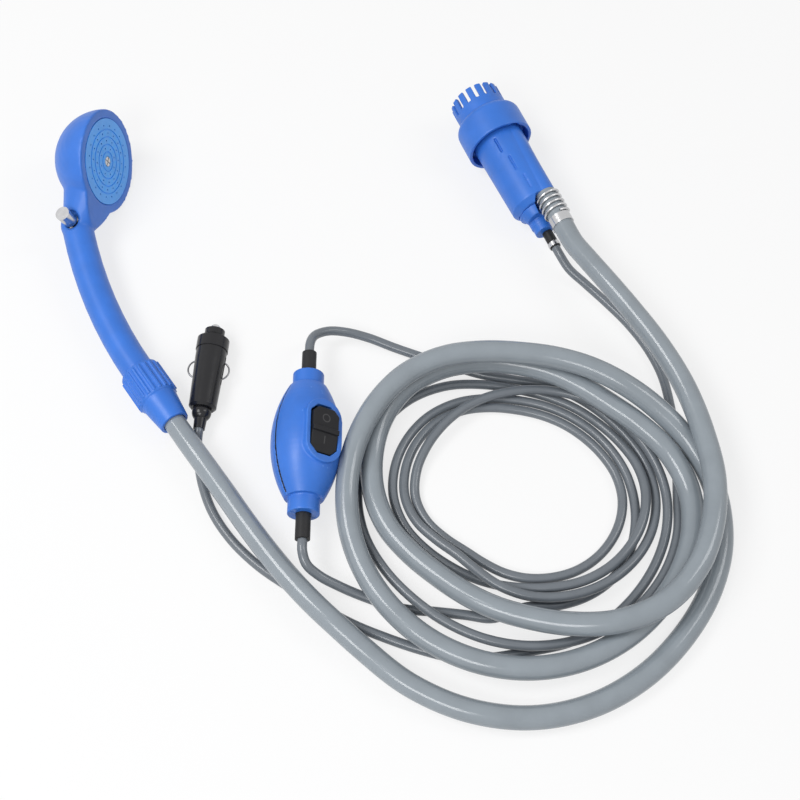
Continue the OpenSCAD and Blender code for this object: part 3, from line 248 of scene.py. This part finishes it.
pump_lane_route = along(PUMP, GLAND_POS, SLEEVE_BACK, SLEEVE_BACK + CABLE_D) + laid(PUMP_LANE_FIRST)
pump_lane_route += loops(PUMP_LANE_REACH, PUMP_LANE_HEIGHT, 0) + laid(PUMP_LANE_LAST)
pump_lane_route += along(SWITCH, ORIGIN, -BOOT_OUT - CABLE_D, -BOOT_OUT, -CABLE_IN)
pump_cable = tube("pump_cable", flowing(pump_lane_route), CABLE_D / 2)

plug_lane_route = along(SWITCH, ORIGIN, BOOT_OUT, BOOT_OUT + CABLE_D) + laid(PLUG_LANE_FIRST)
plug_lane_route += loops(PLUG_LANE_REACH, PLUG_LANE_HEIGHT, PLUG_LANE_START) + laid(PLUG_LANE_LAST)
plug_lane_route += along(PLUG, ORIGIN, PLUG_BOOT_END - PLUG_LEAD, PLUG_BOOT_END, PLUG_FLOOR)
plug_cable = tube("plug_cable", flowing(plug_lane_route), CABLE_D / 2)


# Materials

BLUE = (0.030, 0.163, 0.62)
DISC_BLUE = (0.034, 0.36, 0.95)
HOSE_GREY = (0.265, 0.301, 0.333)
CABLE_GREY = (0.152, 0.171, 0.193)
BLACK = (0.012, 0.012, 0.014)
RUBBER = (0.02, 0.02, 0.021)
CHROME = (0.54, 0.54, 0.55)
STEEL = (0.55, 0.56, 0.57)
WIRE = (0.24, 0.24, 0.25)
BRASS = (0.66, 0.46, 0.18)
COPPER = (0.60, 0.26, 0.13)
FERRITE = (0.035, 0.035, 0.038)
WHITE = (0.75, 0.75, 0.72)
RED = (0.45, 0.015, 0.012)
# Painted shade: near black laid in the switch's seam groove
SEAM_SHADE = (0.006, 0.010, 0.020)

MOTTLE_SCALE = 70
CLOUD_SCALE = 260
GRAIN_SCALE = 2600
GRAIN_DEPTH = 0.00004
NOISE_DETAIL = 3
NOISE_LOW = 0.3
NOISE_HIGH = 0.7
EDGE_FROM = 0.52
EDGE_FULL = 0.60
COAT_SHARE = 0.5


class Look:
    """One procedural material with its own mottle, cloudy gloss and fine grain."""

    def __init__(
        self, name, colour, rough, metal=0, coat=0, shine=0.5, mottle=0.06, cloud=0.06, grain=0.15
    ):
        self.material = bpy.data.materials.new(name)
        self.material.use_nodes = True
        self.tree = self.material.node_tree
        self.shader = self.tree.nodes["Principled BSDF"]
        self.place = self.node("ShaderNodeTexCoord").outputs["Object"]
        self.set("Metallic", metal)
        self.set("Specular IOR Level", shine)
        self.set("Coat Weight", coat)
        self.set("Coat Roughness", rough * COAT_SHARE)
        self.paint(colour, mottle)
        self.gloss(rough, cloud)
        self.bump = self.node("ShaderNodeBump")
        self.bump.inputs["Strength"].default_value = grain
        self.bump.inputs["Distance"].default_value = GRAIN_DEPTH
        self.join(self.noise(GRAIN_SCALE), self.bump.inputs["Height"])
        self.join(self.bump.outputs["Normal"], self.shader.inputs["Normal"])

    def node(self, kind, **settings):
        node = self.tree.nodes.new(kind)
        for name, value in settings.items():
            setattr(node, name, value)
        return node

    def join(self, source, target):
        self.tree.links.new(source, target)

    def set(self, socket, value):
        self.shader.inputs[socket].default_value = value

    def noise(self, scale):
        noise = self.node("ShaderNodeTexNoise")
        noise.inputs["Scale"].default_value = scale
        noise.inputs["Detail"].default_value = NOISE_DETAIL
        self.join(self.place, noise.inputs["Vector"])
        return noise.outputs["Fac"]

    def math(self, operation, first, second):
        node = self.node("ShaderNodeMath", operation=operation)
        self.join(first, node.inputs[0])
        if isinstance(second, (int, float)):
            node.inputs[1].default_value = second
        else:
            self.join(second, node.inputs[1])
        return node.outputs[0]

    def spread(self, source, low, high):
        """Stretches a noise, which stays near its middle, from a low to a high value."""
        node = self.node("ShaderNodeMapRange")
        node.inputs["From Min"].default_value = NOISE_LOW
        node.inputs["From Max"].default_value = NOISE_HIGH
        node.inputs["To Min"].default_value = low
        node.inputs["To Max"].default_value = high
        self.join(source, node.inputs["Value"])
        return node.outputs["Result"]

    def mix(self, share, first, second):
        node = self.node("ShaderNodeMix", data_type="RGBA")
        self.join(share, node.inputs["Factor"])
        for socket, colour in (("A", first), ("B", second)):
            target = next(i for i in node.inputs if i.name == socket and i.type == "RGBA")
            if isinstance(colour, tuple):
                target.default_value = (*colour, 1)
            else:
                self.join(colour, target)
        return next(o for o in node.outputs if o.type == "RGBA")

    def paint(self, colour, mottle):
        dark = tuple(c * (1 - mottle) for c in colour)
        pale = tuple(min(1, c * (1 + mottle)) for c in colour)
        self.colour = self.mix(self.spread(self.noise(MOTTLE_SCALE), 0, 1), dark, pale)
        self.join(self.colour, self.shader.inputs["Base Color"])

    def gloss(self, rough, cloud):
        rough_map = self.spread(self.noise(CLOUD_SCALE), rough - cloud / 2, rough + cloud / 2)
        self.join(rough_map, self.shader.inputs["Roughness"])

    def cover(self, share, colour):
        """Lays a second colour over the first where share is 1."""
        self.colour = self.mix(share, self.colour, colour)
        self.join(self.colour, self.shader.inputs["Base Color"])

    def worn(self, pale, amount):
        """Lightens raised edges a little, as handling does."""
        edge = self.node("ShaderNodeNewGeometry").outputs["Pointiness"]
        ramp = self.node("ShaderNodeMapRange")
        ramp.inputs["From Min"].default_value = EDGE_FROM
        ramp.inputs["From Max"].default_value = EDGE_FULL
        ramp.inputs["To Max"].default_value = amount
        self.join(edge, ramp.inputs["Value"])
        self.cover(ramp.outputs["Result"], pale)

    def across(self, point, axis):
        """Distance in front of a plane through a point, in metres."""
        offset = self.node("ShaderNodeVectorMath", operation="SUBTRACT")
        self.join(self.place, offset.inputs[0])
        offset.inputs[1].default_value = point * MM
        dot = self.node("ShaderNodeVectorMath", operation="DOT_PRODUCT")
        self.join(offset.outputs["Vector"], dot.inputs[0])
        dot.inputs[1].default_value = axis
        return dot.outputs["Value"]

    def near(self, value, target, half):
        """One where a value in metres lies within half a width of a target in millimetres."""
        off = self.math("ABSOLUTE", self.math("SUBTRACT", value, target * MM), 0)
        return self.math("LESS_THAN", off, half * MM)

    def square_off(self, value, target):
        """Square of the way in metres from a target in millimetres."""
        return self.math("POWER", self.math("SUBTRACT", value, target * MM), 2)


PALE_BLUE = (0.16, 0.38, 0.86)
EDGE_WEAR = 0.35
PLASTIC_ROUGH = 0.42
PLASTIC_COAT = 0.05
PLASTIC_GRAIN = 0.06

blue = Look("blue_plastic", BLUE, PLASTIC_ROUGH, coat=PLASTIC_COAT, grain=PLASTIC_GRAIN)

# Painted shade: a near black strip along the seam groove between the two switch shells, standing for the
# shade that falls in the groove
SEAM_HALF_WIDE = 0.75
SEAM_HALF_LONG = 36.5
switch_blue = Look("switch_plastic", BLUE, PLASTIC_ROUGH, coat=PLASTIC_COAT, grain=PLASTIC_GRAIN)
switch_blue.worn(PALE_BLUE, EDGE_WEAR)
seam_shade_mask = switch_blue.math(
    "MULTIPLY",
    switch_blue.near(switch_blue.across(SWITCH_AT, SWITCH_UP), 0, SEAM_HALF_WIDE),
    switch_blue.near(switch_blue.across(SWITCH_AT, SWITCH_LONG), 0, SEAM_HALF_LONG),
)
switch_blue.cover(seam_shade_mask, SEAM_SHADE)

MARK_GREY = (0.06, 0.06, 0.062)
MARK_OFF = 7
MARK_R = 2.4
MARK_HALF_LINE = 0.35
rocker_black = Look("rocker_plastic", BLACK, rough=0.4, shine=0.2, cloud=0.12, grain=0.5)
mark_long = rocker_black.across(SWITCH_AT, SWITCH_LONG)
mark_side = rocker_black.across(SWITCH_AT, SWITCH_SIDE)
mark_reach = rocker_black.math(
    "ADD",
    rocker_black.square_off(mark_long, MARK_OFF),
    rocker_black.square_off(mark_side, 0),
)
on_ring = rocker_black.near(rocker_black.math("SQRT", mark_reach, 0), MARK_R, MARK_HALF_LINE)
on_bar = rocker_black.math(
    "MULTIPLY",
    rocker_black.near(mark_side, 0, MARK_HALF_LINE),
    rocker_black.near(mark_long, -MARK_OFF, MARK_R),
)
rocker_black.cover(rocker_black.math("MAXIMUM", on_ring, on_bar), MARK_GREY)

disc_blue = Look("disc_plastic", DISC_BLUE, PLASTIC_ROUGH, coat=PLASTIC_COAT, grain=PLASTIC_GRAIN)
disc_blue.worn(PALE_BLUE, EDGE_WEAR)

grey_hose = Look("grey_hose", HOSE_GREY, rough=0.15, mottle=0.05, cloud=0.03, grain=0.01)
grey_cable = Look("grey_cable", CABLE_GREY, rough=0.24, mottle=0.06, cloud=0.05, grain=0.03)
black_gloss = Look("black_gloss", BLACK, rough=0.2, shine=0.35, cloud=0.08, grain=0.1)
rubber = Look("black_rubber", RUBBER, rough=0.5, shine=0.25, cloud=0.14, grain=0.6)
chrome = Look("chrome", CHROME, rough=0.22, metal=1, mottle=0.05, cloud=0.08, grain=0.08)
wire = Look("dark_wire", WIRE, rough=0.3, metal=1, mottle=0.08, cloud=0.1, grain=0.1)
steel = Look("steel", STEEL, rough=0.32, metal=1, mottle=0.08, cloud=0.14, grain=0.2)
brass = Look("brass", BRASS, rough=0.3, metal=1, mottle=0.1, cloud=0.14, grain=0.2)
copper = Look("copper", COPPER, rough=0.34, metal=1, mottle=0.12, cloud=0.14, grain=0.3)
ferrite = Look("ferrite", FERRITE, rough=0.6, mottle=0.2, cloud=0.14, grain=0.8)
white = Look("white_plastic", WHITE, rough=0.4, mottle=0.03, cloud=0.08)
red = Look("lead_insulation", RED, rough=0.45, mottle=0.08, cloud=0.1)

LOOK_OF = {
    blue: "volute_cover hose_tail",
    disc_blue: "face_plate",
    grey_hose: "hose_pump_end hose_handset_end",
    black_gloss: "plug_barrel plug_nose plug_boot motor_end_cap",
    rubber: "shaft_seal tail_seal cable_gland head_gasket spool_seals nut_washer switch_boot_top"
    " switch_boot_bottom",
    chrome: "valve_spool gland_ring hose_clamp plug_tip face_screw",
    wire: "side_contact_left side_contact_right",
    steel: "motor_shaft motor_can switch_screws rocker_pin",
    brass: "motor_brushes front_bush rear_bush contact_lever switch_contacts",
    copper: "rotor_core commutator",
    ferrite: "motor_magnets",
    white: "impeller fuse",
    red: "motor_leads",
}


def wear(obj, look):
    """Gives an object its finish, in each slot that it has."""
    if not obj.material_slots:
        obj.data.materials.append(look.material)
    for slot in obj.material_slots:
        slot.material = look.material


for look, names in LOOK_OF.items():
    for name in names.split():
        wear(cad[name], look)


# Moulded pieces: the solids with their edges rounded as they leave a mould

ROUNDING = 0.5


def moulded(node, body, look, voxel, rounds):
    """Skin over a solid in small cubes, with its edges eased in a number of rounds."""
    piece = link(bpy.data.objects.new(node + "_moulded", cad[node].data.copy()))
    remesh = piece.modifiers.new("skin", "REMESH")
    remesh.mode = "VOXEL"
    remesh.voxel_size = voxel * MM
    remesh.use_smooth_shade = True
    smooth = piece.modifiers.new("edges", "SMOOTH")
    smooth.factor = ROUNDING
    smooth.iterations = rounds
    bpy.context.view_layer.update()
    made = bpy.data.meshes.new_from_object(piece.evaluated_get(bpy.context.evaluated_depsgraph_get()))
    piece.modifiers.clear()
    piece.data = made
    made.materials.clear()
    made.materials.append(look.material)
    made.shade_smooth()
    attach(piece, body)
    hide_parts(node)
    return piece


moulded("pump_housing", "base", blue, voxel=0.45, rounds=2)
moulded("strainer_cap", "strainer", blue, voxel=0.45, rounds=3)
moulded("tail_cap", "base", blue, voxel=0.45, rounds=3)
moulded("handset_body", "base", blue, voxel=0.8, rounds=8)
moulded("union_nut", "nut", blue, voxel=0.4, rounds=2)
switch_mouldings = [
    moulded("switch_top_shell", "base", switch_blue, voxel=0.45, rounds=2),
    moulded("switch_bottom_shell", "base", switch_blue, voxel=0.45, rounds=2),
    moulded("rocker", "rocker_body", rocker_black, voxel=0.3, rounds=4),
]


# Bend guard of bright wire round the hose

GUARD_START = 98.6
GUARD_TURNS = 4.5
GUARD_PITCH = 4
GUARD_WIRE_R = 0.85
GUARD_GAP = 0.2
GUARD_R = HOSE_D / 2 + GUARD_WIRE_R + GUARD_GAP
GUARD_STEPS = 32

guard_points = []
for step in range(round(GUARD_TURNS * GUARD_STEPS) + 1):
    turn = step / GUARD_STEPS
    angle = 2 * math.pi * turn
    spot = Vector((GUARD_R * math.cos(angle), GUARD_R * math.sin(angle), GUARD_START + GUARD_PITCH * turn))
    guard_points.append(PUMP @ (RIDGE_POS + spot))
guard = tube("bend_guard", guard_points, GUARD_WIRE_R)
wear(guard, chrome)
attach(guard, "base")
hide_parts("hose_spring")


# Spring behind the fuse

spring = link(bpy.data.objects.new("fuse_spring", cad["tip_spring"].data.copy()))
wear(spring, steel)
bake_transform(spring)
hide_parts("tip_spring")


# The cords with what hangs on them

wear(hose, grey_hose)
wear(pump_cable, grey_cable)
wear(plug_cable, grey_cable)
for cord, finish in ((hose, "grey_hose"), (pump_cable, "grey_cable"), (plug_cable, "grey_cable")):
    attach(cord, "base")
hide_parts("hose_pump_run", "hose_coil", "hose_handset_run")
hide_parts("cable_pump_run", "cable_coil_pump", "cable_switch_in_run")
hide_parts("cable_switch_out_run", "cable_coil_plug", "cable_plug_run")


# Floor, lamps with place, size and power, and sky

FLOOR_HALF = 40
FLOOR_COLOUR = (0.86, 0.86, 0.865)
FLOOR_ROUGH = 0.9
FLOOR_SHINE = 0.1
FLOOR_GLOW = 0.75
LAMPS = [
    ("key", (-0.5, -1.15, 1.25), (0.8, 0.5), 10),
    ("left", (-0.85, -0.15, 1.45), (0.75, 0.6), 12.5),
    ("right", (1.2, 0.1, 1.3), (0.4, 0.8), 4.5),
]
LAMP_AIM = Vector((0.03, -0.1, 0))
SKY_COLOUR = (1, 1, 1)
SKY_STRENGTH = 0.36


def seen_rays(tree):
    """One on the rays that show the stage: from the camera, off gloss and through glass."""
    rays = tree.nodes.new("ShaderNodeLightPath")
    seen = rays.outputs["Is Camera Ray"]
    for name in ("Is Glossy Ray", "Is Transmission Ray"):
        either = tree.nodes.new("ShaderNodeMath")
        either.operation = "MAXIMUM"
        tree.links.new(seen, either.inputs[0])
        tree.links.new(rays.outputs[name], either.inputs[1])
        seen = either.outputs[0]
    return seen


def make_floor():
    """Pale floor that is seen nearly white and still keeps the part's shadow."""
    data = bpy.data.meshes.new("floor")
    corners = [(-FLOOR_HALF, -FLOOR_HALF, 0), (FLOOR_HALF, -FLOOR_HALF, 0)]
    corners += [(FLOOR_HALF, FLOOR_HALF, 0), (-FLOOR_HALF, FLOOR_HALF, 0)]
    data.from_pydata(corners, [], [(0, 1, 2, 3)])
    floor = link(bpy.data.objects.new("floor", data))
    material = bpy.data.materials.new("floor")
    material.use_nodes = True
    tree = material.node_tree
    shader = tree.nodes["Principled BSDF"]
    shader.inputs["Base Color"].default_value = (*FLOOR_COLOUR, 1)
    shader.inputs["Roughness"].default_value = FLOOR_ROUGH
    shader.inputs["Specular IOR Level"].default_value = FLOOR_SHINE
    glow = tree.nodes.new("ShaderNodeEmission")
    share = tree.nodes.new("ShaderNodeMath")
    share.operation = "MULTIPLY"
    share.inputs[1].default_value = FLOOR_GLOW
    tree.links.new(seen_rays(tree), share.inputs[0])
    blend = tree.nodes.new("ShaderNodeMixShader")
    tree.links.new(share.outputs[0], blend.inputs[0])
    tree.links.new(shader.outputs[0], blend.inputs[1])
    tree.links.new(glow.outputs[0], blend.inputs[2])
    tree.links.new(blend.outputs[0], tree.nodes["Material Output"].inputs["Surface"])
    data.materials.append(material)


def make_lamp(name, at, size, power):
    data = bpy.data.lights.new(name, "AREA")
    data.shape = "RECTANGLE"
    data.size, data.size_y = size
    data.energy = power
    lamp = link(bpy.data.objects.new(name, data))
    lamp.location = at
    lamp.rotation_euler = (LAMP_AIM - Vector(at)).to_track_quat("-Z", "Y").to_euler()


def make_sky():
    """White where it is seen, at a plain level where it lights the part."""
    sky = bpy.data.worlds.new("sky")
    sky.use_nodes = True
    tree = sky.node_tree
    background = tree.nodes["Background"]
    background.inputs["Color"].default_value = (*SKY_COLOUR, 1)
    strength = tree.nodes.new("ShaderNodeMath")
    strength.operation = "MULTIPLY_ADD"
    strength.inputs[1].default_value = 1 - SKY_STRENGTH
    strength.inputs[2].default_value = SKY_STRENGTH
    tree.links.new(seen_rays(tree), strength.inputs[0])
    tree.links.new(strength.outputs[0], background.inputs["Strength"])
    scene.world = sky


make_floor()
for lamp in LAMPS:
    make_lamp(*lamp)
make_sky()
scene.view_settings.view_transform = "Standard"
